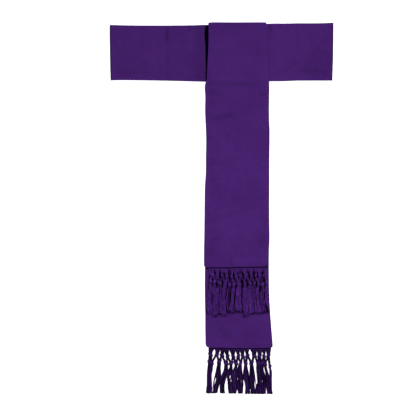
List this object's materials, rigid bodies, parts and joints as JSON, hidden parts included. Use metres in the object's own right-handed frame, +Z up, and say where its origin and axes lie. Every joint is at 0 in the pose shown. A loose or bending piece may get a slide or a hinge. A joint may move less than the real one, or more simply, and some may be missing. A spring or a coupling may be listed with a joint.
{
  "type": "clergy band cincture",
  "caption": "Clergy band cincture laid flat: a closed waistband loop with a strip folded over it that makes a shorter and a longer fall, each ending in a knotted fringe.",
  "frame": {"origin": "on the surface it lies on, under the middle of the whole laid-out piece", "axes": "+Z up out of the surface, +Y towards the waistband and away from the fringes, +X towards the waistband's right end fold"},
  "size_m": [0.4864, 0.809, 0.0094],
  "materials": {
    "faille_cloth": "matt purple faille with a fine cross rib and a faint sheen",
    "fringe_yarn": "soft dark purple twisted yarn, knotted in a net and cut into loose ends",
    "fastening_tape": "black woven hook-and-loop tape"
  },
  "bodies": {
    "root": {"waistband_back": "faille_cloth", "waistband_front_left": "faille_cloth", "waistband_front_right": "faille_cloth", "fall_front": "faille_cloth", "fall_rear": "faille_cloth", "heading_front": "fringe_yarn", "heading_rear": "fringe_yarn", "fringe_front": "fringe_yarn", "fringe_rear": "fringe_yarn", "fastening_loop_tape": "fastening_tape", "fastening_hook_tape": "fastening_tape"}
  },
  "joints": []
}
